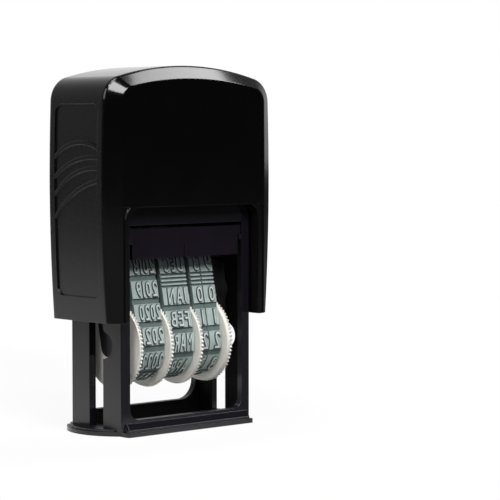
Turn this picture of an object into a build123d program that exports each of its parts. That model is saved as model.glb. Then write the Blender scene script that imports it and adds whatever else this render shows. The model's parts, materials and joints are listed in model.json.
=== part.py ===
from build123d import *
import math
import os

# Self-inking mini date stamp with four type bands.
# X runs along the front, the front faces -Y, Z is up, all sizes in millimetres.
# The origin is the middle of the base's underside.

# Clearances
slide_gap = 0.3
bearing_gap = 0.05
seat_gap = 0.02
face_gap = 0.15

# Base, moulded in one with the inner frame
base_half_length = 15.5
base_half_depth = 9.1
base_end_reach = 18.85
base_end_start = 6.4
base_corner_radius = 0.7
flange_height = 0.8
tier_height = 0.4
tier_step = 0.45
base_height = 2.35
skirt_half_depth = 7.75
skirt_inset = 0.18

# Inner frame
frame_half_width = 15.8
frame_half_depth = 7.45
frame_wall = 1.5
frame_edge_radius = 0.35
frame_window_half_width = 13.8
front_sill_top = 2.87
back_sill_top = 3.5
front_sill_radius = 2.1
back_sill_radius = 3.6
frame_window_rise = 0.6
deck_thickness = 1.95
deck_rim_height = 3.9
slot_half_width = 2.05
print_opening_half_length = 13.07

# Notch at the front edge of each side slot, from the pivot at rest, points as (Y, Z)
notch_top = -5.15
notch_bottom = -11.35
notch_lip = (-2.35, -6.1)
notch_shoulder = (-3.2, -6.5)
notch_front = (-4.9, -8.65)
notch_heel = (-3.3, -10.95)

# Place of the pivot at rest, and how far the type's face lies from it
pivot_height = 25.25
face_reach = 7.8
print_height = 0.1
pin_radius = 1.9
pin_chamfer = 0.3
pin_end_wall = 1.0

# Ink cassette, into which the type stands up by the dip
tray_dip = 0.65
tray_height = 5.6
tray_roof = 1.2
tray_wall = 1.0
tray_body_half_width = 13.0
tray_half_depth = 7.2
tray_flange = 1.8
tray_end_wall = 1.4
rail_height = 1.0
tray_side_gap = 0.1
pad_margin = 0.2
pad_corner_radius = 1.0
tray_rib_width = 0.9
tray_rib_height = 2.6
tray_rib_depth = 0.2

# Outer case; the middles, shoulders and corners are half widths and how far they lie below its top
case_bottom_drop = 4.2
guide_headroom = 2.85
case_cap = 3.8
case_bottom_half_width = 19.5
case_middle = (20.45, 24.0)
case_shoulder = (20.15, 6.5)
case_corner = (16.8, 2.2)
case_side_half_depth = 7.95
case_half_depth = 9.9
face_bottom_half_width = 17.25
face_middle = (17.4, 24.0)
face_shoulder = (17.3, 6.6)
face_corner = (15.2, 4.1)
face_top_drop = 2.5
side_edge_round = 0.45
side_edge_share = 0.13
face_edge_share = 0.05
edge_round_steps = 3
case_wall = 1.75
corner_lean = 14.0
cavity_half_depth = 6.2
case_window_half_width = 15.94
case_window_drop = 2.0
case_window_radius = 2.6
window_bead = 0.8
window_recess = 0.3
boss_wall = 1.45

# Moulded grip on each side of the case; its ridges are given by how far they lie below the case's top
grip_half_depth = 6.25
grip_rise = 4.55
grip_drop = 7.2
grip_corner_radius = 1.6
grip_recess = 0.3
grip_ridge_width = 0.75
grip_ridge_backs = (16.5, 20.2, 23.4, 27.6)
grip_ridge_crowns = (13.9, 17.1, 19.4, 22.8)
grip_ridge_fronts = (14.9, 16.6, 18.5, 20.8)

# Return spring
spring_radius = 5.0
spring_wire_radius = 0.4
spring_turns = 7
spring_end_pitch = 1.3
spring_seat_height = 1.1
spring_seat_margin = 0.8
spring_arcs = 4
gap_samples = 72
spring_post_length = 6.0
spring_post_gap = 0.5
deck_boss_height = 1.2

# Carrier side plates; the left one has a lobe in front of the axle
plate_inner_x = 12.5
plate_thickness = 1.0
plate_rise = 5.2
plate_neck_half_depth = 2.6
plate_boss_radius = 3.2
plate_boss_height = 0.45
axle_socket_depth = 0.7
lobe_radius = 3.0
lobe_y = -2.5
lobe_drop = 7.85
lug_radius = 0.38
lug_y = -0.05
lug_drop = 4.4

# Wheels and their axle
axle_y = -0.6
axle_drop = 9.25
axle_radius = 1.5
axle_end_radius = 1.1
axle_foot_radius = 2.0
wheel_radius = 8.2
wheel_tooth_depth = 0.42
wheel_tooth_count = 68
wheel_tooth_width = 0.45
drum_radius = 5.4
spacer_sleeve_radius = 2.7

# Type bands on the drums and the platen
band_base = 0.8
band_block = 0.3
letter_height = 0.3
band_lines = 12
band_groove = 0.95
bar_length = 1.6
bar_count = 3
bar_groove = 0.32
join_length = 3.0
join_after = 7
platen_half_depth = 3.0
platen_corner_radius = 0.5
platen_height = 6.8
tenon_half_depth = 1.0
tenon_height = 1.6
tenon_drop = 2.6

# The stack along the axle, from the left
stack_left = -12.35
rim_width = 0.75
band_side_gap = 0.08
year_band_width = 6.4
month_band_width = 6.4
tens_band_width = 2.6
units_band_width = 3.1
digit_band_gap = 0.15
units_rim_width = 1.2

# Places worked out from the sizes above
tier_top = flange_height + tier_height
skirt_foot = base_half_depth - tier_step - skirt_inset
frame_inner_half_width = frame_half_width - frame_wall
frame_inner_half_depth = frame_half_depth - frame_wall
stroke = pivot_height - face_reach - print_height
type_top = pivot_height + face_reach
axle_height = pivot_height - axle_drop
tray_bottom = type_top - tray_dip
tray_top = tray_bottom + tray_height
frame_window_top = tray_top + frame_window_rise
deck_bottom = tray_top + face_gap
deck_top = deck_bottom + deck_thickness
frame_top = deck_top + deck_rim_height
guide_top = frame_top + stroke + guide_headroom
case_bottom = pivot_height - case_bottom_drop
case_top = guide_top + case_cap
case_window_top = frame_top - case_window_drop
grip_bottom = case_bottom + grip_rise
grip_top = case_top - grip_drop
platen_top = type_top - band_base - band_block - letter_height - seat_gap
rail_top = tray_top - tray_flange
rail_half_width = tray_body_half_width + face_gap
tray_half_width = frame_window_half_width - tray_side_gap
tray_inner_half_depth = tray_half_depth - tray_end_wall
pad_bottom = type_top + face_gap
pad_top = tray_top - tray_roof
guide_half_width = frame_half_width + slide_gap
guide_half_depth = frame_half_depth + slide_gap
ceiling = case_top - case_wall
spring_top = ceiling - spring_seat_height
boss_radius = pin_radius + bearing_gap + boss_wall
pin_end = case_bottom_half_width - pin_end_wall
boss_bore_end = pin_end + face_gap
plate_outer_x = plate_inner_x + plate_thickness
nose_y = platen_half_depth - platen_corner_radius
nose_height = platen_top - platen_corner_radius
nose_radius = platen_corner_radius + seat_gap
loop_radius = drum_radius + bearing_gap

os.makedirs("parts", exist_ok=True)


def write(part, label):
    """Name a finished piece and write its STEP file."""
    part.label = label
    export_step(part, f"parts/{label}.step")


# Inner frame with its base


def base_outline(inset):
    """The base from above: each end bulges from a short straight at its front to the back corner."""
    half_length = base_half_length - inset
    half_depth = base_half_depth - inset
    end_reach = base_end_reach - inset
    start = base_end_start - inset
    with BuildLine() as outline:
        Line((0, -half_depth), (half_length, -half_depth))
        Line((half_length, -half_depth), (half_length, -start))
        ThreePointArc(
            (half_length, -start),
            (end_reach, (half_depth - start) / 2),
            (half_length, half_depth),
        )
        Line((half_length, half_depth), (0, half_depth))
        mirror(about=Plane.YZ)
    face = make_face(outline.edges())
    rows = face.vertices().group_by(Axis.Y)
    fillet([v for v in rows[0] + rows[-1] if abs(v.X) > base_corner_radius], base_corner_radius)


def frame_window(sill_top, radius):
    """The frame's opening from the front, with its lower corners rounded."""
    with Locations((0, (sill_top + frame_window_top) / 2)):
        opening = Rectangle(2 * frame_window_half_width, frame_window_top - sill_top)
    fillet(opening.vertices().group_by(Axis.Y)[0], radius)


with BuildPart() as inner_frame:
    # Flange, tier and a skirt that slopes up to the frame at the front and back
    with BuildSketch(Plane.XY):
        base_outline(0)
    extrude(amount=flange_height)
    with BuildSketch(Plane.XY.offset(flange_height)):
        base_outline(tier_step)
    extrude(amount=tier_height)
    with BuildSketch(Plane.YZ):
        with BuildLine():
            Polyline(
                (-skirt_foot, tier_top),
                (-skirt_half_depth, base_height),
                (skirt_half_depth, base_height),
                (skirt_foot, tier_top),
                close=True,
            )
        make_face()
    extrude(amount=base_half_length - base_corner_radius, both=True)
    with BuildSketch(Plane.XY.offset(flange_height)):
        RectangleRounded(2 * frame_half_width, 2 * frame_half_depth, frame_edge_radius)
    extrude(amount=frame_top - flange_height)
    # Room for the carrier under the deck and for the spring above it
    with BuildSketch(Plane.XY):
        Rectangle(2 * print_opening_half_length, 2 * frame_inner_half_depth)
    extrude(amount=tier_top, mode=Mode.SUBTRACT)
    with BuildSketch(Plane.XY.offset(tier_top)):
        Rectangle(2 * frame_inner_half_width, 2 * frame_inner_half_depth)
    extrude(amount=deck_bottom - tier_top, mode=Mode.SUBTRACT)
    with BuildSketch(Plane.XY.offset(deck_top)):
        Rectangle(2 * frame_inner_half_width, 2 * frame_inner_half_depth)
    extrude(amount=deck_rim_height, mode=Mode.SUBTRACT)
    # Front and back windows
    with BuildSketch(Plane.XZ.offset(frame_inner_half_depth)):
        frame_window(front_sill_top, front_sill_radius)
    extrude(amount=frame_wall, mode=Mode.SUBTRACT)
    with BuildSketch(Plane.XZ.offset(-frame_half_depth)):
        frame_window(back_sill_top, back_sill_radius)
    extrude(amount=frame_wall, mode=Mode.SUBTRACT)
    # Side slots for the pivot pins, each with a notch towards the front
    with BuildSketch(Plane((0, 0, pivot_height), x_dir=(0, 1, 0), z_dir=(1, 0, 0))):
        with Locations((0, (tier_top - pivot_height + face_gap) / 2)):
            Rectangle(2 * slot_half_width, pivot_height + face_gap - tier_top)
        with Locations((0, face_gap)):
            Circle(slot_half_width)
        with BuildLine():
            Line((0, notch_top), (-slot_half_width, notch_top))
            ThreePointArc((-slot_half_width, notch_top), notch_lip, notch_shoulder)
            ThreePointArc(notch_shoulder, notch_front, notch_heel)
            Line(notch_heel, (-slot_half_width, notch_bottom))
            Line((-slot_half_width, notch_bottom), (0, notch_bottom))
            Line((0, notch_bottom), (0, notch_top))
        make_face()
    extrude(amount=frame_half_width, both=True, mode=Mode.SUBTRACT)
    # Rails that carry the ink cassette
    with BuildSketch(Plane.XY.offset(rail_top - rail_height)):
        for side in (-1, 1):
            with Locations((side * (rail_half_width + frame_inner_half_width) / 2, 0)):
                Rectangle(frame_inner_half_width - rail_half_width, 2 * frame_half_depth)
    extrude(amount=rail_height)
    # Spring boss on the deck
    with BuildSketch(Plane.XY.offset(deck_top)):
        Circle(spring_radius - spring_wire_radius - spring_post_gap)
    extrude(amount=deck_boss_height)
write(inner_frame.part, "inner_frame")

# Ink cassette

with BuildPart() as ink_tray:
    with BuildSketch(Plane.XY.offset(tray_bottom)):
        Rectangle(2 * tray_body_half_width, 2 * tray_half_depth)
    extrude(amount=tray_top - tray_bottom)
    with BuildSketch(Plane.XY.offset(rail_top)):
        Rectangle(2 * tray_half_width, 2 * tray_half_depth)
    extrude(amount=tray_flange)
    with BuildSketch(Plane.XY.offset(tray_bottom)):
        Rectangle(2 * (tray_body_half_width - tray_wall), 2 * tray_inner_half_depth)
    extrude(amount=pad_top - tray_bottom, mode=Mode.SUBTRACT)
    # Finger rib in the middle of the front and back
    with BuildSketch(Plane.XY.offset(tray_bottom)):
        Rectangle(tray_rib_width, 2 * (tray_half_depth + tray_rib_depth))
        Rectangle(tray_rib_width, 2 * tray_half_depth, mode=Mode.SUBTRACT)
    extrude(amount=tray_rib_height)
write(ink_tray.part, "ink_tray")

with BuildPart() as ink_pad:
    with BuildSketch(Plane.XY.offset(pad_bottom)):
        pad_half_width = tray_body_half_width - tray_wall - pad_margin
        RectangleRounded(2 * pad_half_width, 2 * (tray_inner_half_depth - pad_margin), pad_corner_radius)
    extrude(amount=pad_top - pad_bottom)
write(ink_pad.part, "ink_pad")

# Outer case


def below_top(place, shrink=0):
    """A point of the case's outline from its half width and its drop below the case's top."""
    half_width, drop = place
    return half_width - shrink, case_top - drop


def arched_outline(bottom, middle, shoulder, corner, top):
    """The case from the front: bowed sides, round shoulders and an arched top."""
    with BuildLine() as outline:
        side = ThreePointArc(bottom, middle, shoulder)
        TangentArc(shoulder, corner, tangent=side % 1)
        mirror(about=Plane.YZ)
        ThreePointArc(corner, top, (-corner[0], corner[1]))
        Line((-bottom[0], bottom[1]), bottom)
    make_face(outline.edges())


def side_outline(shrink, bottom):
    """The outline of the case's sides, moved inwards by shrink."""
    lean = math.radians(corner_lean)
    corner = below_top(case_corner)
    arched_outline(
        (case_bottom_half_width - shrink, bottom),
        below_top(case_middle, shrink),
        below_top(case_shoulder, shrink),
        (corner[0] - shrink * math.sin(lean), corner[1] - shrink * math.cos(lean)),
        (0, case_top - shrink),
    )


def case_section(share):
    """The case's outline a share of the way over the bevel, from its sides to its flat front or back."""
    places = []
    for near, far in (
        ((case_bottom_half_width, case_bottom), (face_bottom_half_width, case_bottom)),
        (below_top(case_middle), below_top(face_middle)),
        (below_top(case_shoulder), below_top(face_shoulder)),
        (below_top(case_corner), below_top(face_corner)),
        ((0, case_top), (0, case_top - face_top_drop)),
    ):
        places.append(tuple(a + (b - a) * share for a, b in zip(near, far)))
    arched_outline(*places)


def bevel_places():
    """Depths and shares of the sections over the bevel, with its two edges softly rounded."""
    bevel_depth = case_half_depth - case_side_half_depth
    for start, corner, end in (
        (
            (case_side_half_depth - side_edge_round, 0),
            (case_side_half_depth, 0),
            (case_side_half_depth + bevel_depth * side_edge_share, side_edge_share),
        ),
        (
            (case_half_depth - bevel_depth * face_edge_share, 1 - face_edge_share),
            (case_half_depth, 1),
            (case_half_depth, 1 + face_edge_share),
        ),
    ):
        for step in range(edge_round_steps + 1):
            along = step / edge_round_steps
            weights = ((1 - along) ** 2, 2 * along * (1 - along), along**2)
            yield tuple(sum(w * place[i] for w, place in zip(weights, (start, corner, end))) for i in (0, 1))


def window_outline(margin, mode=Mode.ADD):
    """The case's window from the front, grown by margin and open at the bottom."""
    half_width = case_window_half_width + margin
    top = case_window_top + margin
    radius = case_window_radius + margin
    bottom = case_bottom - slide_gap
    with BuildLine() as outline:
        Line((0, bottom), (half_width, bottom))
        Line((half_width, bottom), (half_width, top - radius))
        JernArc((half_width, top - radius), (0, 1), radius, 90)
        Line((half_width - radius, top), (0, top))
        mirror(about=Plane.YZ)
    make_face(outline.edges(), mode=mode)


# A shallow skin that is cut from each side, leaving the curved ridges standing
with BuildPart() as grip_cut:
    with BuildSketch(Plane.YZ):
        with Locations((0, (grip_bottom + grip_top) / 2)):
            RectangleRounded(2 * grip_half_depth, grip_top - grip_bottom, grip_corner_radius)
    extrude(amount=case_middle[0] + slide_gap, both=True)
    with BuildSketch(Plane.YZ):
        for drops in zip(grip_ridge_backs, grip_ridge_crowns, grip_ridge_fronts):
            back, crown, front = (case_top - drop for drop in drops)
            with BuildLine():
                ThreePointArc((grip_half_depth, back), (0, crown), (-grip_half_depth, front))
                Line((-grip_half_depth, front), (-grip_half_depth, front - grip_ridge_width))
                ThreePointArc(
                    (-grip_half_depth, front - grip_ridge_width),
                    (0, crown - grip_ridge_width),
                    (grip_half_depth, back - grip_ridge_width),
                )
                Line((grip_half_depth, back - grip_ridge_width), (grip_half_depth, back))
            make_face()
    extrude(amount=case_middle[0] + slide_gap, both=True, mode=Mode.SUBTRACT)
    with BuildSketch(Plane.XZ):
        side_outline(grip_recess, case_bottom)
    extrude(amount=case_half_depth, both=True, mode=Mode.SUBTRACT)

with BuildPart() as outer_case:
    with BuildSketch(Plane.XZ):
        case_section(0)
    extrude(amount=case_side_half_depth - side_edge_round, both=True)
    for side in (-1, 1):
        for depth, share in bevel_places():
            with BuildSketch(Plane.XZ.offset(side * depth)):
                case_section(share)
        loft(ruled=True)
    # Cavity between the side walls, and the deeper shaft that guides the frame
    with BuildSketch(Plane.XZ):
        side_outline(case_wall, case_bottom - case_wall)
    extrude(amount=cavity_half_depth, both=True, mode=Mode.SUBTRACT)
    with BuildSketch(Plane.XY.offset(case_bottom)):
        Rectangle(2 * guide_half_width, 2 * guide_half_depth)
    extrude(amount=guide_top - case_bottom, mode=Mode.SUBTRACT)
    # Front and back windows, each in a raised bead below a crease across the face
    for side in (-1, 1):
        with BuildSketch(Plane.XZ.offset(side * case_half_depth)):
            with Locations((0, (case_bottom + case_window_top) / 2)):
                Rectangle(2 * face_bottom_half_width, case_window_top - case_bottom)
            window_outline(window_bead, Mode.SUBTRACT)
        extrude(amount=-side * window_recess, mode=Mode.SUBTRACT)
    with BuildSketch(Plane.XZ):
        window_outline(0)
    extrude(amount=case_half_depth, both=True, mode=Mode.SUBTRACT)
    add(grip_cut.part, mode=Mode.SUBTRACT)
    # Blind bearings for the pivot pins
    for side in (-1, 1):
        with BuildSketch(Plane.YZ.offset(side * guide_half_width)):
            with Locations((0, pivot_height)):
                Circle(boss_radius)
        extrude(amount=side * (boss_bore_end - guide_half_width))
        with BuildSketch(Plane.YZ.offset(side * guide_half_width)):
            with Locations((0, pivot_height)):
                Circle(pin_radius + bearing_gap)
        extrude(amount=side * (boss_bore_end - guide_half_width), mode=Mode.SUBTRACT)
    # Seat and post for the spring
    with BuildSketch(Plane.XY.offset(spring_top)):
        Circle(spring_radius + spring_wire_radius + spring_seat_margin)
    extrude(amount=spring_seat_height + case_wall / 2)
    with BuildSketch(Plane.XY.offset(spring_top - spring_post_length)):
        Circle(spring_radius - spring_wire_radius - spring_post_gap)
    extrude(amount=spring_post_length)
write(outer_case.part, "outer_case")

# Return spring, one unbroken wire with closer turns at both ends


def spring_height(turn):
    """How far up the wire's centre is after so many turns."""
    body_pitch = (spring_rise - 2 * spring_end_pitch) / (spring_turns - 2)
    if turn <= 1:
        return spring_end_pitch * turn
    if turn >= spring_turns - 1:
        return spring_rise - spring_end_pitch * (spring_turns - turn)
    return spring_end_pitch + body_pitch * (turn - 1)


def spring_point(turn):
    """A point on the wire's centre line."""
    angle = 2 * math.pi * turn
    height = deck_top + spring_wire_radius + spring_height(turn)
    return (spring_radius * math.cos(angle), spring_radius * math.sin(angle), height)


spring_rise = spring_top - deck_top - 2 * spring_wire_radius
with BuildPart() as return_spring:
    with BuildLine() as wire:
        for arc in range(spring_arcs * spring_turns):
            ThreePointArc(*(spring_point((arc + share) / spring_arcs) for share in (0, 0.5, 1)))
    with BuildSketch(Plane(origin=wire.wires()[0] @ 0, z_dir=wire.wires()[0] % 0)):
        Circle(spring_wire_radius)
    sweep(path=wire.wires()[0])
write(return_spring.part, "return_spring")
places = [spring_point(i / gap_samples) for i in range(gap_samples * spring_turns)]
nearest = min(math.dist(a, b) for i, a in enumerate(places) for b in places[i + gap_samples // 2 :])
least_gap = nearest - 2 * spring_wire_radius
print(f"spring's least gap to itself {least_gap:.2f} mm")

# Carrier side plates with the pivot pins pressed into them

for side, name in ((-1, "left"), (1, "right")):
    with BuildPart() as carrier_plate:
        with BuildSketch(Plane.YZ.offset(side * plate_inner_x)):
            with Locations((0, pivot_height + plate_rise / 2)):
                Rectangle(2 * plate_neck_half_depth, plate_rise)
            with Locations((0, pivot_height)):
                Circle(plate_boss_radius)
            if side < 0:
                with Locations((lobe_y, pivot_height - lobe_drop)):
                    Circle(lobe_radius)
            with Locations((axle_y, axle_height)):
                Circle(axle_foot_radius)
            make_hull()
        extrude(amount=side * plate_thickness)
        with BuildSketch(Plane.YZ.offset(side * plate_outer_x)):
            with Locations((0, pivot_height)):
                Circle(plate_boss_radius)
        extrude(amount=side * plate_boss_height)
        # Lug that rides in the frame's slot and turns the carrier at the notch
        with BuildSketch(Plane.YZ.offset(side * plate_outer_x)):
            with Locations((lug_y, pivot_height - lug_drop)):
                Circle(lug_radius)
        extrude(amount=side * (frame_half_width - plate_outer_x))
        with BuildSketch(Plane.YZ.offset(side * plate_inner_x)):
            with Locations((0, pivot_height)):
                Circle(pin_radius + seat_gap)
            with Locations((0, platen_top - tenon_drop)):
                Rectangle(2 * (tenon_half_depth + seat_gap), tenon_height + 2 * seat_gap)
        extrude(amount=side * (plate_thickness + plate_boss_height), mode=Mode.SUBTRACT)
        with BuildSketch(Plane.YZ.offset(side * plate_inner_x)):
            with Locations((axle_y, axle_height)):
                Circle(axle_end_radius + seat_gap)
        extrude(amount=side * axle_socket_depth, mode=Mode.SUBTRACT)
    write(carrier_plate.part, f"carrier_{name}_plate")
    with BuildPart() as pivot_pin:
        with BuildSketch(Plane.YZ.offset(side * plate_inner_x)):
            with Locations((0, pivot_height)):
                Circle(pin_radius)
        extrude(amount=side * (pin_end - plate_inner_x))
        chamfer(pivot_pin.faces().sort_by(Axis.X)[0 if side < 0 else -1].edges(), pin_chamfer)
    write(pivot_pin.part, f"pivot_pin_{name}")

with BuildPart() as platen:
    with BuildSketch(Plane.YZ):
        with Locations((0, platen_top - platen_height / 2)):
            body = Rectangle(2 * platen_half_depth, platen_height)
        fillet(body.vertices().group_by(Axis.Y)[-1], platen_corner_radius)
    extrude(amount=plate_inner_x - seat_gap, both=True)
    with BuildSketch(Plane.YZ):
        with Locations((0, platen_top - tenon_drop)):
            Rectangle(2 * tenon_half_depth, tenon_height)
    extrude(amount=plate_outer_x, both=True)
write(platen.part, "platen")

with BuildPart() as wheel_axle:
    with BuildSketch(Plane.YZ):
        with Locations((axle_y, axle_height)):
            Circle(axle_radius)
    extrude(amount=plate_inner_x - seat_gap, both=True)
    with BuildSketch(Plane.YZ):
        with Locations((axle_y, axle_height)):
            Circle(axle_end_radius)
    extrude(amount=plate_inner_x + axle_socket_depth - seat_gap, both=True)
write(wheel_axle.part, "wheel_axle")

# Date wheels: a drum for the band and a toothed rim for the finger


def rim_outline():
    """A rim from the side, with fine pointed teeth."""
    root_radius = wheel_radius - wheel_tooth_depth
    points = []
    for half_tooth in range(2 * wheel_tooth_count):
        radius = wheel_radius if half_tooth % 2 else root_radius
        angle = math.pi * half_tooth / wheel_tooth_count
        points.append((radius * math.cos(angle), radius * math.sin(angle)))
    with BuildLine() as outline:
        Polyline(*points, close=True)
    make_face(outline.edges())


def date_wheel(label, rim_start, rim_end, drum_start, drum_end):
    """A wheel whose toothed edge is at the right of its rim."""
    teeth_start = rim_end - wheel_tooth_width
    with BuildPart() as wheel:
        for start, end, radius in (
            (rim_start, teeth_start, wheel_radius - wheel_tooth_depth / 2),
            (drum_start, drum_end, drum_radius),
        ):
            with BuildSketch(Plane.YZ.offset(start)):
                with Locations((axle_y, axle_height)):
                    Circle(radius)
            extrude(amount=end - start)
        with BuildSketch(Plane((teeth_start, axle_y, axle_height), x_dir=(0, 1, 0), z_dir=(1, 0, 0))):
            rim_outline()
        extrude(amount=wheel_tooth_width)
        with BuildSketch(Plane.YZ.offset(min(rim_start, drum_start))):
            with Locations((axle_y, axle_height)):
                Circle(axle_radius + bearing_gap)
        extrude(amount=max(rim_end, drum_end) - min(rim_start, drum_start), mode=Mode.SUBTRACT)
    write(wheel.part, label)


# Type bands: belts round the drum and over the platen, with a raised block for each line


def band_stretches():
    """The band's loop in arcs and straight runs, from the middle of the platen over its front.

    Each is (centre, radius, first angle, last angle, length along the middle of the base).
    """
    drum = (axle_y, axle_height)
    front_nose, back_nose = (-nose_y, nose_height), (nose_y, nose_height)
    normals, runs = [], []
    for nose, turn in ((front_nose, -1), (back_nose, 1)):
        reach = math.dist(nose, drum)
        bearing = math.atan2(drum[1] - nose[1], drum[0] - nose[0]) + 2 * math.pi
        normals.append(bearing + turn * math.acos((nose_radius - loop_radius) / reach))
        runs.append(math.sqrt(reach**2 - (loop_radius - nose_radius) ** 2))
    top, full_turn = math.pi / 2, 2.5 * math.pi
    nose_middle = nose_radius + band_base / 2
    drum_middle = loop_radius + band_base / 2
    front, back = normals
    return (
        ((0, nose_height), nose_radius, top, top, nose_y),
        (front_nose, nose_radius, top, front, nose_middle * (front - top)),
        (front_nose, nose_radius, front, front, runs[0]),
        (drum, loop_radius, front, back, drum_middle * (back - front)),
        (drum, loop_radius, back, back, runs[1]),
        (back_nose, nose_radius, back, full_turn, nose_middle * (full_turn - back)),
        (back_nose, nose_radius, full_turn, full_turn, nose_y),
    )


def band_place(distance, height):
    """The point (Y, Z) and the outward angle at a distance along the band, a height above its inside."""
    for centre, radius, first, last, length in band_stretches():
        if distance <= length:
            break
        distance -= length
    angle = first + (last - first) * distance / length
    ahead = distance if first == last else 0
    y = centre[0] + (radius + height) * math.cos(angle) - ahead * math.sin(angle)
    z = centre[1] + (radius + height) * math.sin(angle) + ahead * math.cos(angle)
    return y, z, angle


band_length = sum(length for *_, length in band_stretches())
line_pitch = (band_length - bar_length - join_length) / band_lines
print(f"band length {band_length:.2f} mm, line pitch {line_pitch:.3f} mm")


def band_grooves(bars_after):
    """The grooves along a band and their widths: one between lines, and several between the bars."""
    for line in range(band_lines):
        edge = (line + 0.5) * line_pitch
        edge += bar_length if line > bars_after else 0
        edge += join_length if line > join_after else 0
        if line == bars_after:
            step = (bar_length + band_groove - bar_groove) / bar_count
            for bar in range(bar_count + 1):
                yield edge - (band_groove - bar_groove) / 2 + bar * step, bar_groove
        else:
            yield edge, band_groove
        if line == join_after:
            yield edge + join_length, band_groove


def band_shape(height, mode=Mode.ADD):
    """The band's loop from the side, at a height above its inside."""
    with BuildSketch(mode=Mode.PRIVATE) as loop:
        with Locations((-nose_y, nose_height), (nose_y, nose_height)):
            Circle(nose_radius + height)
        with Locations((axle_y, axle_height)):
            Circle(loop_radius + height)
        make_hull()
    add(loop.sketch_local, mode=mode)


def type_band(label, start, width, bars_after):
    """A band with its lines' blocks; its lettering is too fine to be part of the solid."""
    with BuildPart() as band:
        with BuildSketch(Plane.YZ.offset(start)):
            band_shape(band_base + band_block)
            for distance, groove in band_grooves(bars_after):
                y, z, angle = band_place(distance, band_base + band_block)
                with Locations((y, z)):
                    Rectangle(2 * band_block, groove, rotation=math.degrees(angle), mode=Mode.SUBTRACT)
            band_shape(0, Mode.SUBTRACT)
        extrude(amount=width)
    write(band.part, label)


# The stack: each wheel's rim stands at the left of its band, but the units wheel's at the right

left = stack_left
for name, width, bars_after in (
    ("year", year_band_width, 10),
    ("month", month_band_width, 1),
    ("tens", tens_band_width, 1),
):
    rim_end = left + rim_width
    band_start = rim_end + band_side_gap
    band_end = band_start + width
    left = band_end + band_side_gap
    drum_end = band_end + (digit_band_gap - bearing_gap) / 2 if name == "tens" else left - bearing_gap
    date_wheel(f"{name}_wheel", rim_end - rim_width, rim_end, rim_end, drum_end)
    type_band(f"{name}_band", band_start, width, bars_after)
units_start = band_end + digit_band_gap
units_rim_start = units_start + units_band_width + band_side_gap
units_rim_end = units_rim_start + units_rim_width
date_wheel("units_wheel", units_rim_start, units_rim_end, drum_end + bearing_gap, units_rim_start)
type_band("units_band", units_start, units_band_width, 1)

with BuildPart() as axle_spacer:
    with BuildSketch(Plane.YZ.offset(units_rim_end + bearing_gap)):
        with Locations((axle_y, axle_height)):
            Circle(spacer_sleeve_radius)
            Circle(axle_radius + seat_gap, mode=Mode.SUBTRACT)
    extrude(amount=plate_inner_x - units_rim_end - 2 * bearing_gap)
write(axle_spacer.part, "axle_spacer")
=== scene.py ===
import json
import math

import bmesh
import bpy
from mathutils import Matrix, Vector


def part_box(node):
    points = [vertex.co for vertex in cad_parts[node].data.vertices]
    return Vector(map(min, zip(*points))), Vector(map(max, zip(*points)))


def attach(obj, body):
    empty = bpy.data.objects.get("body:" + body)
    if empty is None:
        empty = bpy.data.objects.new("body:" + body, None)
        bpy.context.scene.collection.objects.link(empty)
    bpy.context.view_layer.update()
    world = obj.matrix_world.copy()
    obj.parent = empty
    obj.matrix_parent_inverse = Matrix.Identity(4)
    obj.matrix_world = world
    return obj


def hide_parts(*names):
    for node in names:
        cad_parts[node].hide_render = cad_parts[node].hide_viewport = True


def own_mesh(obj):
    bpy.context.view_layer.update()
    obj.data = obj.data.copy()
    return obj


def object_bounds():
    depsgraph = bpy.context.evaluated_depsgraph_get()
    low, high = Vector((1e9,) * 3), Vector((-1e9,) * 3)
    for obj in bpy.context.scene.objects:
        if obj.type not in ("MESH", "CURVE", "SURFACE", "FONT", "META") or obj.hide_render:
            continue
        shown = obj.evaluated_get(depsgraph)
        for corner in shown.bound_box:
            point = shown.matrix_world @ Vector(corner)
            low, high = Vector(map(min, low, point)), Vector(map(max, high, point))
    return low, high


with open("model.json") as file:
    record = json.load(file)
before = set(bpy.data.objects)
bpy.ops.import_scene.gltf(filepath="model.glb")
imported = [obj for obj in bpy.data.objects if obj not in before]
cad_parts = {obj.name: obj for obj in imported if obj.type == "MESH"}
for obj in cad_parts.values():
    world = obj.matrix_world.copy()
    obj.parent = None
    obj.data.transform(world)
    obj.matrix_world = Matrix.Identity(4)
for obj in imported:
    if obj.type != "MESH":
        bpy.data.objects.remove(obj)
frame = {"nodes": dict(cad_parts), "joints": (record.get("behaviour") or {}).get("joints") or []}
cad_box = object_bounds()

# Self-inking date stamp: a black moulded case and frame, ivory thumbwheels and rubber type bands.
# Everything is in metres in the stamp's own frame, with Z up and the front facing -Y.

MM = 0.001
MERGE = 0.002 * MM
# A mesh face counts as square to an axis when the part of its normal along it is above this
SQUARE_ON = 0.9

joints = {joint["name"]: joint for joint in frame["joints"]}


# Colour and node helpers


def linear(hex_colour):
    """An sRGB hex colour as the linear RGBA that shaders take."""
    channels = [int(hex_colour[i : i + 2], 16) / 255 for i in (1, 3, 5)]
    bent = [c / 12.92 if c <= 0.04045 else ((c + 0.055) / 1.055) ** 2.4 for c in channels]
    return (*bent, 1.0)


def socket(sockets, name):
    """A socket by its identifier, or else by its name or number."""
    return next((s for s in sockets if s.identifier == name), None) or sockets[name]


def add_node(tree, kind, inputs=None, **settings):
    """Add a node with its settings and, for each input, its value or the socket that feeds it."""
    node = tree.nodes.new(kind)
    for name, value in settings.items():
        setattr(node, name, value)
    for name, given in (inputs or {}).items():
        if isinstance(given, bpy.types.NodeSocket):
            tree.links.new(given, socket(node.inputs, name))
        else:
            socket(node.inputs, name).default_value = given
    return node


def new_material(name):
    """An empty material and its node tree."""
    material = bpy.data.materials.new(name)
    material.use_nodes = True
    material.node_tree.nodes.clear()
    return material, material.node_tree


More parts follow.
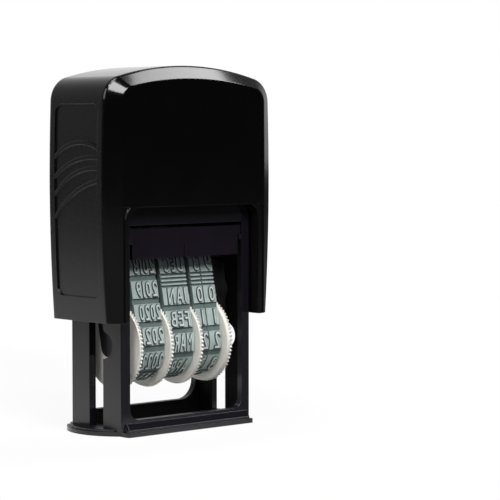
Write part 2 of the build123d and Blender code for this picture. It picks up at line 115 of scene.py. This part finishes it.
def lumps(tree, size, detail=2.0):
    """Noise from 0 to 1 whose lumps are about size across on the piece."""
    place = add_node(tree, "ShaderNodeTexCoord").outputs["Object"]
    inputs = {"Vector": place, "Scale": 1 / size, "Detail": detail}
    return add_node(tree, "ShaderNodeTexNoise", inputs).outputs["Fac"]


def between(tree, factor, low, high):
    """A number or colour that follows factor from low to high, each of them given or from a socket."""
    if any(isinstance(end, str) or getattr(end, "type", "") == "RGBA" for end in (low, high)):
        low, high = (linear(end) if isinstance(end, str) else end for end in (low, high))
        inputs = {"Factor_Float": factor, "A_Color": low, "B_Color": high}
        mixed = add_node(tree, "ShaderNodeMix", inputs, data_type="RGBA")
        return socket(mixed.outputs, "Result_Color")
    inputs = {"Value": factor, "To Min": low, "To Max": high}
    return add_node(tree, "ShaderNodeMapRange", inputs).outputs["Result"]


def relief(tree, height, depth, strength=1.0, edge=0.0):
    """A bump of that real depth, on edges that are softly broken over that radius."""
    inputs = {"Height": height, "Strength": strength, "Distance": depth}
    if edge:
        softened = add_node(tree, "ShaderNodeBevel", {"Radius": edge}, samples=4)
        inputs["Normal"] = softened.outputs["Normal"]
    return add_node(tree, "ShaderNodeBump", inputs).outputs["Normal"]


def surface(tree, colour, roughness, normal, **others):
    """A principled shader with its colour, roughness, bump and other inputs, sent to the output."""
    inputs = {"Base Color": colour, "Roughness": roughness, "Normal": normal}
    inputs.update({name.replace("_", " "): given for name, given in others.items()})
    shader = add_node(tree, "ShaderNodeBsdfPrincipled", inputs)
    add_node(tree, "ShaderNodeOutputMaterial", {"Surface": shader.outputs["BSDF"]})


# A surface begins to face along an axis at this part of its normal along it, and does in full at that
facing_begins = 0.86
facing_full = 0.97

# How far the inside of the frame and of the case reach along X, Y and Z from the origin
frame_inside = Vector((14.6, 6.2, 60.0)) * MM
case_inside = Vector((17.8, 8.0, 63.0)) * MM


def sizes_of(tree, vector):
    """A vector's three numbers without their signs."""
    bare = add_node(tree, "ShaderNodeVectorMath", {0: vector}, operation="ABSOLUTE")
    return add_node(tree, "ShaderNodeSeparateXYZ", {"Vector": bare.outputs[0]}).outputs


def facing_mask(tree, axis):
    """1 where the surface faces along an axis of the piece, either way, and 0 where it doesn't."""
    facing = sizes_of(tree, add_node(tree, "ShaderNodeTexCoord").outputs["Normal"])[axis]
    inputs = {"Value": facing, "From Min": facing_begins, "From Max": facing_full}
    return add_node(tree, "ShaderNodeMapRange", inputs).outputs["Result"]


def inside_mask(tree, reach):
    """1 inside a box round the origin that reaches so far along each axis, 0 outside it."""
    place = sizes_of(tree, add_node(tree, "ShaderNodeTexCoord").outputs["Object"])
    inside = 1.0
    for along, limit in zip(place, reach):
        near = add_node(tree, "ShaderNodeMath", {0: along, 1: limit}, operation="LESS_THAN")
        inside = between(tree, near.outputs[0], 0.0, inside)
    return inside


# Materials

# ABS mirrors as any plastic does where its mould was polished. The inside comes off an unpolished
# core, so it is rough and mirrors almost nothing; its near-black colour is painted shade for the shadow
# inside.
abs_ior = 1.53
core_ior = 1.2
core_roughness = 0.65
inside_shade_black = "#040405"


def case_abs():
    """ABS from one mould: polished near-black front and back, and sides with a fine satin texture."""
    material, tree = new_material("moulded ABS, polished front and satin sides")
    sides = facing_mask(tree, "X")
    shaded_core = inside_mask(tree, case_inside)
    mottle = lumps(tree, 9 * MM)
    peel = lumps(tree, 1.5 * MM, 1.0)
    grit = lumps(tree, 0.25 * MM, 3.0)
    polished = between(tree, mottle, "#020203", "#050506")
    satin = between(tree, mottle, "#08080A", "#0D0D0F")
    # The inside's near-black colour is painted shade for the shadow within the case
    colour = between(tree, shaded_core, between(tree, sides, polished, satin), inside_shade_black)
    rough = between(tree, sides, between(tree, mottle, 0.1, 0.14), between(tree, grit, 0.22, 0.3))
    rough = between(tree, shaded_core, rough, core_roughness)
    wave = relief(tree, peel, 0.004 * MM, 0.5, edge=0.22 * MM)
    surface(tree, colour, rough, wave, IOR=between(tree, shaded_core, abs_ior, core_ior))
    return material


def frame_abs():
    """Glossy black ABS with a faint violet cast, duller on its sides and level faces, dull inside,
    where its colour is painted shade.
    """
    material, tree = new_material("moulded ABS, gloss frame")
    sides = facing_mask(tree, "X")
    level = facing_mask(tree, "Z")
    shaded_core = inside_mask(tree, frame_inside)
    mottle = lumps(tree, 7 * MM)
    peel = lumps(tree, 1.2 * MM, 1.0)
    # The inside's near-black colour is painted shade for the shadow within the frame
    colour = between(tree, shaded_core, between(tree, sides, "#131117", "#131315"), inside_shade_black)
    rough = between(tree, sides, between(tree, mottle, 0.06, 0.1), 0.3)
    rough = between(tree, shaded_core, between(tree, level, rough, 0.4), core_roughness)
    wave = relief(tree, peel, 0.004 * MM, 0.5, edge=0.14 * MM)
    gloss = between(tree, shaded_core, between(tree, level, abs_ior, core_ior), core_ior)
    surface(tree, colour, rough, wave, IOR=gloss)
    return material


def cassette_abs():
    """Black ABS stained violet by the ink that it carries, satin from handling."""
    material, tree = new_material("moulded ABS, ink cassette")
    stain = lumps(tree, 5 * MM, 3.0)
    colour = between(tree, stain, "#08050C", "#160D1A")
    rough = between(tree, stain, 0.16, 0.28)
    film = relief(tree, stain, 0.01 * MM, 0.3, edge=0.15 * MM)
    surface(tree, colour, rough, film, IOR=abs_ior)
    return material


def carrier_abs():
    """Satin black ABS with a fine mould texture."""
    material, tree = new_material("moulded ABS, carrier")
    grain = lumps(tree, 0.3 * MM, 3.0)
    colour = between(tree, lumps(tree, 4 * MM), "#0B0B0C", "#141415")
    rough = between(tree, grain, 0.32, 0.45)
    texture = relief(tree, grain, 0.006 * MM, 0.5, edge=0.1 * MM)
    surface(tree, colour, rough, texture, IOR=abs_ior)
    return material


def ivory_acetal():
    """Moulded acetal: waxy ivory, slightly see-through at thin edges, with faint flow marks."""
    material, tree = new_material("moulded acetal, ivory")
    flow = lumps(tree, 3 * MM, 3.0)
    colour = between(tree, flow, "#E0DDD6", "#ECEAE4")
    rough = between(tree, flow, 0.3, 0.42)
    marks = relief(tree, flow, 0.01 * MM, 0.4, edge=0.2 * MM)
    surface(
        tree,
        colour,
        rough,
        marks,
        IOR=1.48,
        Subsurface_Weight=0.25,
        Subsurface_Scale=0.6 * MM,
        Subsurface_Radius=(1.0, 0.85, 0.65),
    )
    return material


def band_rubber(name, dark, light):
    """Vulcanised rubber: matt, dusty and unevenly tinted by old ink."""
    material, tree = new_material(name)
    tint = lumps(tree, 1.1 * MM, 4.0)
    dust = lumps(tree, 0.12 * MM, 2.0)
    colour = between(tree, tint, dark, light)
    rough = between(tree, dust, 0.6, 0.82)
    surface(tree, colour, rough, relief(tree, dust, 0.012 * MM, 0.6), IOR=1.5)
    return material


def ink_felt():
    """Dense wool felt soaked with ink: nearly black violet, with a short matted nap."""
    material, tree = new_material("ink-soaked felt")
    nap = lumps(tree, 0.35 * MM, 6.0)
    colour = between(tree, nap, "#0B0818", "#1B1436")
    rough = between(tree, nap, 0.55, 0.9)
    surface(tree, colour, rough, relief(tree, nap, 0.08 * MM), IOR=1.45, Sheen_Weight=0.3)
    return material


def spring_wire():
    """Drawn spring steel, bright with fine lines along the wire."""
    material, tree = new_material("drawn spring steel")
    draw = lumps(tree, 0.2 * MM, 3.0)
    colour = between(tree, draw, "#B9BABD", "#CFD0D2")
    rough = between(tree, draw, 0.22, 0.36)
    surface(tree, colour, rough, relief(tree, draw, 0.004 * MM), Metallic=1.0)
    return material


def ground_steel():
    """Centreless-ground steel pins: even, fine and softly bright."""
    material, tree = new_material("ground steel")
    lines = lumps(tree, 0.15 * MM, 2.0)
    colour = between(tree, lines, "#A9AAAC", "#C6C7C9")
    rough = between(tree, lines, 0.2, 0.34)
    surface(tree, colour, rough, relief(tree, lines, 0.003 * MM), Metallic=1.0)
    return material


# Mesh helpers


def block_between(low, high):
    """The mesh of a plain block between two corners."""
    bm = bmesh.new()
    bmesh.ops.create_cube(bm, size=1.0)
    bmesh.ops.scale(bm, vec=high - low, verts=bm.verts[:])
    bmesh.ops.translate(bm, vec=(low + high) / 2, verts=bm.verts[:])
    return bm


def piece_from(bm, name, body, slot, *materials):
    """A finished piece that rides on a body, from a mesh that is already in place."""
    mesh = bpy.data.meshes.new(name)
    bm.to_mesh(mesh)
    bm.free()
    for material in materials:
        mesh.materials.append(material)
    piece = bpy.data.objects.new(name, mesh)
    bpy.context.scene.collection.objects.link(piece)
    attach(piece, body)
    return piece


def dress(node, material):
    """Give a CAD node its finish."""
    held = frame["nodes"][node]
    held.data.materials.clear()
    held.data.materials.append(material)


# Type bands, drawn flat and then wrapped round the drum and the platen

band_base = 0.8 * MM
band_block = 0.3 * MM
block_draft = 0.07 * MM
band_lines = 12
band_groove = 0.95 * MM
# Bars stand after one line of each band, and the band's join lies after another
bar_length = 1.6 * MM
bar_count = 3
bar_groove = 0.32 * MM
join_length = 3.0 * MM
join_after = 7
# The band is cut across at about this step, so that it bends smoothly
cut_step = 0.45 * MM

letter_cap = 3.1 * MM
letter_rise = 0.3 * MM
letter_sink = 0.03 * MM
# The next four are shares of the font's size or of a letter's height
letter_space = 0.16
letter_thickness = 0.05
letter_flank = 0.04
letter_merge = 0.0005
letter_curve_steps = 3

# The drum and the platen that the bands run round
seat_gap = 0.02 * MM
platen_corner = 0.5 * MM
axle = Vector(joints["year_set"]["pos_m"])
platen_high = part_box("platen")[1]
band_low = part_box("month_band")[0]
loop_radius = axle.z - band_low.z - band_base - band_block
nose_y = platen_high.y - platen_corner
nose_height = platen_high.z - platen_corner
nose_radius = platen_corner + seat_gap


def band_stretches():
    """The loop as arcs and straight runs, from the middle of the platen over its front.

    Each is (centre, radius, first angle, last angle, length along the middle of the base).
    """
    drum = (axle.y, axle.z)
    front_nose, back_nose = (-nose_y, nose_height), (nose_y, nose_height)
    normals, runs = [], []
    for nose, turn in ((front_nose, -1), (back_nose, 1)):
        reach = math.dist(nose, drum)
        bearing = math.atan2(drum[1] - nose[1], drum[0] - nose[0]) + 2 * math.pi
        normals.append(bearing + turn * math.acos((nose_radius - loop_radius) / reach))
        runs.append(math.sqrt(reach**2 - (loop_radius - nose_radius) ** 2))
    top, full_turn = math.pi / 2, 2.5 * math.pi
    nose_middle = nose_radius + band_base / 2
    drum_middle = loop_radius + band_base / 2
    front, back = normals
    return (
        ((0, nose_height), nose_radius, top, top, nose_y),
        (front_nose, nose_radius, top, front, nose_middle * (front - top)),
        (front_nose, nose_radius, front, front, runs[0]),
        (drum, loop_radius, front, back, drum_middle * (back - front)),
        (drum, loop_radius, back, back, runs[1]),
        (back_nose, nose_radius, back, full_turn, nose_middle * (full_turn - back)),
        (back_nose, nose_radius, full_turn, full_turn, nose_y),
    )


stretches = band_stretches()
band_length = sum(length for *_, length in stretches)
line_pitch = (band_length - bar_length - join_length) / band_lines


def on_band(flat):
    """A flat point (across, along the band, above its inside) in its place on the loop."""
    distance = min(max(flat.y, 0.0), band_length)
    for centre, radius, first, last, length in stretches:
        if distance <= length + MERGE / 10:
            break
        distance -= length
    angle = first + (last - first) * distance / length
    ahead = distance if first == last else 0
    y = centre[0] + (radius + flat.z) * math.cos(angle) - ahead * math.sin(angle)
    z = centre[1] + (radius + flat.z) * math.sin(angle) + ahead * math.cos(angle)
    return Vector((flat.x, y, z))


def line_centre(line, bars_after):
    """How far along the band a line's middle is."""
    centre = line * line_pitch
    centre += bar_length if line > bars_after else 0
    return centre + (join_length if line > join_after else 0)


def raised_stretches(bars_after):
    """The first and last distance of each raised block and bar along a band."""
    grooves = []
    for line in range(band_lines):
        edge = line_centre(line, bars_after) + line_pitch / 2
        if line == bars_after:
            step = (bar_length + band_groove - bar_groove) / bar_count
            first_groove = edge - (band_groove - bar_groove) / 2
            grooves += [(first_groove + bar * step, bar_groove) for bar in range(bar_count + 1)]
        else:
            grooves.append((edge, band_groove))
        if line == join_after:
            grooves.append((edge + join_length, band_groove))
    starts = [0.0] + [at + width / 2 for at, width in grooves]
    ends = [at - width / 2 for at, width in grooves] + [band_length]
    return list(zip(starts, ends))


def cut_across(bm, distances):
    """Cut a flat mesh across the band at those distances, so that it can bend there."""
    for distance in distances:
        everything = bm.verts[:] + bm.edges[:] + bm.faces[:]
        bmesh.ops.bisect_plane(
            bm, geom=everything, dist=MERGE, plane_co=(0, distance, 0), plane_no=(0, 1, 0)
        )


def wrap(bm):
    """Bend a flat mesh round the loop and turn its faces outwards."""
    for vertex in bm.verts:
        vertex.co = on_band(vertex.co)
    bmesh.ops.remove_doubles(bm, verts=bm.verts[:], dist=MERGE)
    bmesh.ops.recalc_face_normals(bm, faces=bm.faces[:])


def band_piece(node, bars_after, grooves_ink_and_shade, faced):
    """A rubber belt with a raised block for each line, in place of the plain band."""
    low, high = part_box(node)
    bm = block_between(Vector((low.x, 0, 0)), Vector((high.x, band_length, band_base)))
    raised = raised_stretches(bars_after)
    steps = int(band_length / cut_step)
    edges = [edge for pair in raised for edge in pair][1:-1]
    even = [step * band_length / steps for step in range(1, steps)]
    even = [d for d in even if all(abs(d - edge) > cut_step / 4 for edge in edges)]
    cut_across(bm, sorted(edges + even))
    ends = [f for f in bm.faces if abs(f.normal.y) > SQUARE_ON]
    bmesh.ops.delete(bm, geom=ends, context="FACES_ONLY")
    # Faces left at the first material are the grooves, dark with old ink and painted shade
    for start, end in raised:
        flat = [f for f in bm.faces if f.normal.z > SQUARE_ON and f.material_index == 0]
        top = [f for f in flat if start < f.calc_center_median().y < end]
        bmesh.ops.inset_region(
            bm,
            faces=top,
            thickness=block_draft,
            depth=band_block,
            use_even_offset=True,
            use_boundary=True,
        )
        for face in top:
            face.material_index = 1
    wrap(bm)
    band = piece_from(bm, f"{node}_belt", "carrier", "band", grooves_ink_and_shade, faced)
    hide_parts(node)


def glyph_mesh(letter):
    """A letter or digit with sloping flanks, in a box from 0 to 1 each way but across, lying flat.

    Across it keeps its own width, as a share of its height.
    """
    curve = bpy.data.curves.new("letter", "FONT")
    curve.body = letter
    curve.resolution_u = letter_curve_steps
    curve.extrude = letter_thickness
    curve.bevel_depth = letter_flank
    curve.bevel_resolution = 0
    holder = bpy.data.objects.new("letter", curve)
    bpy.context.scene.collection.objects.link(holder)
    bpy.context.view_layer.update()
    shown = holder.evaluated_get(bpy.context.evaluated_depsgraph_get())
    mesh = bpy.data.meshes.new_from_object(shown)
    bpy.data.objects.remove(holder)
    bpy.data.curves.remove(curve)
    corners = [Vector(vertex.co) for vertex in mesh.vertices]
    low = Vector([min(corner[axis] for corner in corners) for axis in range(3)])
    high = Vector([max(corner[axis] for corner in corners) for axis in range(3)])
    wide, tall, thick = high - low
    for vertex in mesh.vertices:
        place = vertex.co - low
        vertex.co = (place.x / tall, place.y / tall, place.z / thick)
    return mesh, wide / tall


def add_word(bm, text, across, line, bars_after, width):
    """Add a mirrored word to a flat mesh, its top towards the start of the band.

    Its letters are squeezed to fit the width, and a single digit to its share of that of a nought.
    """
    letters = [glyph_mesh(letter) for letter in text]
    natural = sum(share for _, share in letters) + letter_space * (len(text) - 1)
    if len(text) == 1:
        nought, natural = glyph_mesh("0")
        bpy.data.meshes.remove(nought)
        across += width * (letters[0][1] / natural - 1) / 2
    scale = width / natural
    foot = band_base + band_block - letter_sink
    middle = line_centre(line, bars_after)
    top = middle - letter_cap / 2
    start = across + width / 2
    for mesh, share in letters:
        word = bmesh.new()
        word.from_mesh(mesh)
        bpy.data.meshes.remove(mesh)
        bmesh.ops.remove_doubles(word, verts=word.verts[:], dist=letter_merge)
        bmesh.ops.recalc_face_normals(word, faces=word.faces[:])
        for face in word.faces:
            # The flanks take the darker rubber, old ink and painted shade
            face.material_index = 0 if face.normal.z > SQUARE_ON else 1
        for vertex in word.verts:
            x, y, z = vertex.co
            along = middle - (y - 0.5) * letter_cap
            vertex.co = Vector((start - x * scale, along, foot + z * (letter_rise + letter_sink)))
        cut_across(word, [top + (i + 0.5) * cut_step for i in range(int(letter_cap / cut_step))])
        part = bpy.data.meshes.new("letter")
        word.to_mesh(part)
        word.free()
        bm.from_mesh(part)
        bpy.data.meshes.remove(part)
        start -= (share + letter_space) * scale


def type_piece(node, words, bars_after, width, shift, face_rubber, flank_ink_and_shade):
    """The raised mirrored lettering of one band."""
    low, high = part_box(node)
    bm = bmesh.new()
    for line, text in enumerate(words):
        add_word(bm, text, (low.x + high.x) / 2 + shift, line, bars_after, width)
    wrap(bm)
    piece_from(bm, node.replace("band", "type"), "carrier", "band", face_rubber, flank_ink_and_shade)


# Ink pad and return spring


def felt_pad(material):
    """The soaked pad: a felt block with soft edges and a slight crown towards the type."""
    corner_radius = 1.0 * MM
    edge_radius = 0.35 * MM
    crown = 0.12 * MM
    # The underside's points lie within this height, and its rims bend by more than this in radians
    underside = 0.1 * MM
    sharp_angle = 1.0
    low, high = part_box("ink_pad")
    middle = (low + high) / 2
    bm = block_between(low, high)
    uprights = [e for e in bm.edges if abs(e.verts[0].co.z - e.verts[1].co.z) > MM]
    rounding = {"profile": 0.5, "affect": "EDGES", "material": -1}
    bmesh.ops.bevel(bm, geom=uprights, offset=corner_radius, segments=4, **rounding)
    rims = [e for e in bm.edges if abs(e.verts[0].co.z - e.verts[1].co.z) < MERGE]
    rims = [e for e in rims if e.calc_face_angle(0) > sharp_angle]
    bmesh.ops.bevel(bm, geom=rims, offset=edge_radius, segments=3, **rounding)
    bmesh.ops.triangulate(bm, faces=bm.faces[:])
    bmesh.ops.subdivide_edges(bm, edges=bm.edges[:], cuts=3, use_grid_fill=True)
    for vertex in bm.verts:
        if vertex.co.z < low.z + underside:
            away_x = (vertex.co.x - middle.x) / (high.x - low.x) * 2
            away_y = (vertex.co.y - middle.y) / (high.y - low.y) * 2
            vertex.co.z += crown * (away_x**2 + away_y**2) / 2
    for face in bm.faces:
        face.smooth = True
    pad = piece_from(bm, "felt_pad", "frame", "pad", material)
    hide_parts("ink_pad")


def coil(material):
    """The return spring: one wire with closer turns at both ends."""
    wire_radius = 0.4 * MM
    wire_sides = 10
    mean_radius = 5.0 * MM
    end_pitch = 1.3 * MM
    turns = 7
    steps = 28
    low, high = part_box("return_spring")
    rise = high.z - low.z - 2 * wire_radius
    body_pitch = (rise - 2 * end_pitch) / (turns - 2)
    foot = Matrix.Translation((mean_radius, 0, low.z + wire_radius))
    upright = Matrix.Rotation(math.pi / 2, 4, "X")
    bm = bmesh.new()
    ring = bmesh.ops.create_circle(
        bm, segments=wire_sides, radius=wire_radius, cap_ends=True, matrix=foot @ upright
    )
    end = ring["verts"] + list({e for v in ring["verts"] for e in v.link_edges})
    end += list({f for v in ring["verts"] for f in v.link_faces})
    for count, pitch in ((1, end_pitch), (turns - 2, body_pitch), (1, end_pitch)):
        made = bmesh.ops.spin(
            bm,
            geom=end,
            cent=(0, 0, 0),
            axis=(0, 0, 1),
            dvec=(0, 0, pitch / steps),
            angle=count * 2 * math.pi,
            steps=count * steps,
        )
        end = made["geom_last"]
    bmesh.ops.recalc_face_normals(bm, faces=bm.faces[:])
    for face in bm.faces:
        face.smooth = True
    spring = piece_from(bm, "spring_coil", "frame", "spring", material)
    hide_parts("return_spring")
    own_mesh(spring)


# Dress the CAD nodes and add the modelled pieces

case_finish = case_abs()
frame_finish = frame_abs()
carrier_finish = carrier_abs()
wheel_finish = ivory_acetal()
pin_finish = ground_steel()
# The grooves and the letters' flanks are darker, partly old ink and partly painted shade for the shadow
# in them; the tops of the blocks and letters are worn clean
grooves_ink_and_shade = band_rubber("band rubber, grooves", "#4C5B59", "#6E7D7A")
faced = band_rubber("band rubber, blocks", "#8B9A97", "#B0BDBA")
type_face = band_rubber("type rubber, faces", "#A3B1AE", "#C6CFCC")
flanks_ink_and_shade = band_rubber("type rubber, flanks, ink and painted shade", "#2C3937", "#56655F")

dress("outer_case", case_finish)
dress("inner_frame", frame_finish)
dress("ink_tray", cassette_abs())
for node in ("carrier_left_plate", "carrier_right_plate", "platen"):
    dress(node, carrier_finish)
for node in ("year_wheel", "month_wheel", "tens_wheel", "units_wheel", "axle_spacer"):
    dress(node, wheel_finish)
for node in ("pivot_pin_left", "pivot_pin_right", "wheel_axle"):
    dress(node, pin_finish)

# Each band's words start at the middle of the platen and run over its front
first_year = 2017
first_ten = 2
first_unit = 8
years = [str(first_year + line) for line in range(band_lines)]
months = ["NOV", "DEC", "JAN", "FEB", "MAR", "APR", "MAY", "JUN", "JUL", "AUG", "SEP", "OCT"]
tens = [str((first_ten + line) % 4) for line in range(band_lines)]
units = [str((first_unit + line) % 10) for line in range(band_lines)]
for name, words, bars_after, width, shift in (
    ("year", years, 10, 5.0 * MM, 0.3 * MM),
    ("month", months, 1, 4.6 * MM, 0.1 * MM),
    ("tens", tens, 1, 1.5 * MM, 0.3 * MM),
    ("units", units, 1, 1.6 * MM, 0.3 * MM),
):
    band_piece(f"{name}_band", bars_after, grooves_ink_and_shade, faced)
    type_piece(f"{name}_band", words, bars_after, width, shift, type_face, flanks_ink_and_shade)

felt_pad(ink_felt())
coil(spring_wire())

# Floor, light and camera

pure_white = linear("#FFFFFF")

table_radius = 3.0
table_drop = 0.02 * MM
# The camera sees some of the table's own shade near the stamp, for the shadow, and plain white past it
shadow_near = 0.06
shadow_gone = 0.32
white_share_near = 0.88
# The table's colour greys as painted shade for light falling off into the dark room, as its distance
# from the stamp outgrows its reach towards the bright side by this length, which is soon in front of
# the stamp and far out behind it
bright_side = (-0.335, 0.87, 0.0)
fade_length = 0.06
table_white = "#F2F2F2"
table_painted_shade = "#585858"

# The backdrop is brightest in this direction and falls off to the level of the dark room
backdrop_way = (0.42, 0.85, 0.0)
backdrop_edge = -0.25
backdrop_full = 0.88
backdrop_falloff = 3.0
room_level = 0.02

# The photograph's viewpoint, about 0.4 m away, to the stamp's left and a little above its middle
viewpoint = (-255.54 * MM, -304.31 * MM, 55.85 * MM)
degrees_down = 3.24
degrees_right = 42.44
lens_length = 151.2
sensor_width = 36.0

# The lamps look at the middle of the stamp
aim = Vector((0, 0, cad_box[1].z / 2))


def lamp(name, toward, distance, width, height, watts):
    """A soft rectangular lamp that looks at the stamp's middle from a direction."""
    light = bpy.data.lights.new(name, "AREA")
    light.shape = "RECTANGLE"
    light.size = width
    light.size_y = height
    light.energy = watts
    holder = bpy.data.objects.new(name, light)
    away = Vector(toward).normalized()
    holder.location = aim + away * distance
    holder.rotation_mode = "QUATERNION"
    holder.rotation_quaternion = away.to_track_quat("Z", "Y")
    bpy.context.scene.collection.objects.link(holder)


def shown_white(tree, lit, white, share):
    """White for the camera and through glass, in that share, with the lit shader for the rest."""
    path = add_node(tree, "ShaderNodeLightPath").outputs
    rays = {0: path["Is Camera Ray"], 1: path["Is Transmission Ray"]}
    seen = add_node(tree, "ShaderNodeMath", rays, operation="MAXIMUM").outputs[0]
    inputs = {0: between(tree, seen, 0.0, share), 1: lit, 2: white}
    return add_node(tree, "ShaderNodeMixShader", inputs).outputs[0]


def studio_floor():
    """A white table top that keeps the stamp's soft shadow, its colour greyed away from the stamp as
    painted shade.
    """
    bm = bmesh.new()
    bmesh.ops.create_circle(bm, cap_ends=True, segments=64, radius=table_radius)
    mesh = bpy.data.meshes.new("floor")
    bm.to_mesh(mesh)
    bm.free()
    material, tree = new_material("white table top")
    place = add_node(tree, "ShaderNodeTexCoord").outputs["Object"]
    away = add_node(tree, "ShaderNodeVectorMath", {0: place}, operation="LENGTH").outputs["Value"]
    inputs = {"Value": away, "From Min": shadow_near, "From Max": shadow_gone}
    distant = add_node(tree, "ShaderNodeMapRange", inputs).outputs["Result"]
    inputs = {0: place, 1: bright_side}
    behind = add_node(tree, "ShaderNodeVectorMath", inputs, operation="DOT_PRODUCT").outputs["Value"]
    ahead = add_node(tree, "ShaderNodeMath", {0: away, 1: behind}, operation="SUBTRACT").outputs[0]
    inputs = {"Value": ahead, "From Min": 0.0, "From Max": fade_length}
    painted_dimming = add_node(tree, "ShaderNodeMapRange", inputs).outputs["Result"]
    # Painted shade: the table's colour greys away from the stamp
    shade = between(tree, painted_dimming, table_white, table_painted_shade)
    lit = add_node(tree, "ShaderNodeBsdfDiffuse", {"Color": shade}).outputs[0]
    inputs = {"Color": pure_white, "Strength": 1.0}
    white = add_node(tree, "ShaderNodeEmission", inputs).outputs[0]
    larger = add_node(tree, "ShaderNodeMath", {0: distant, 1: painted_dimming}, operation="MAXIMUM")
    share = between(tree, larger.outputs[0], white_share_near, 1.0)
    mixed = shown_white(tree, lit, white, share)
    add_node(tree, "ShaderNodeOutputMaterial", {"Surface": mixed})
    mesh.materials.append(material)
    floor = bpy.data.objects.new("floor", mesh)
    floor.location.z = -table_drop
    bpy.context.scene.collection.objects.link(floor)


def studio_world():
    """A bright backdrop behind the stamp and a dark room in front of it; the camera sees white."""
    world = bpy.data.worlds.new("studio")
    bpy.context.scene.world = world
    world.use_nodes = True
    tree = world.node_tree
    tree.nodes.clear()
    way = add_node(tree, "ShaderNodeTexCoord").outputs["Generated"]
    inputs = {0: way, 1: backdrop_way}
    behind = add_node(tree, "ShaderNodeVectorMath", inputs, operation="DOT_PRODUCT").outputs["Value"]
    inputs = {"Value": behind, "From Min": backdrop_edge, "From Max": backdrop_full}
    rise = add_node(tree, "ShaderNodeMapRange", inputs).outputs["Result"]
    curved = add_node(tree, "ShaderNodeMath", {0: rise, 1: backdrop_falloff}, operation="POWER")
    level = between(tree, curved.outputs[0], room_level, 1.0)
    room = add_node(tree, "ShaderNodeBackground", {"Color": pure_white, "Strength": level})
    white = add_node(tree, "ShaderNodeBackground", {"Color": pure_white, "Strength": 1.0})
    mixed = shown_white(tree, room.outputs[0], white.outputs[0], 1.0)
    add_node(tree, "ShaderNodeOutputWorld", {"Surface": mixed})


def photo_camera():
    """The camera at the photograph's viewpoint."""
    camera = bpy.data.cameras.new("camera")
    camera.lens = lens_length
    camera.sensor_width = sensor_width
    camera.clip_start = 0.01
    camera.clip_end = 20.0
    viewer = bpy.data.objects.new("camera", camera)
    viewer.location = viewpoint
    viewer.rotation_euler = (math.radians(90 - degrees_down), 0, math.radians(-degrees_right))
    bpy.context.scene.collection.objects.link(viewer)
    bpy.context.scene.camera = viewer


studio_floor()
studio_world()
lamp("right_softbox", toward=(0.6, -0.17, 0.78), distance=0.73, width=0.18, height=0.28, watts=1.2)
lamp("left_softbox", toward=(-0.9, -0.3, 0.55), distance=0.8, width=0.5, height=0.5, watts=2.4)
lamp("front_fill", toward=(-0.2, -1.0, 1.05), distance=0.9, width=0.6, height=0.4, watts=9.0)
lamp("overhead", toward=(-0.157, -0.194, 0.92), distance=0.7, width=0.3, height=0.3, watts=1.8)
photo_camera()
bpy.context.scene.view_settings.view_transform = "Standard"
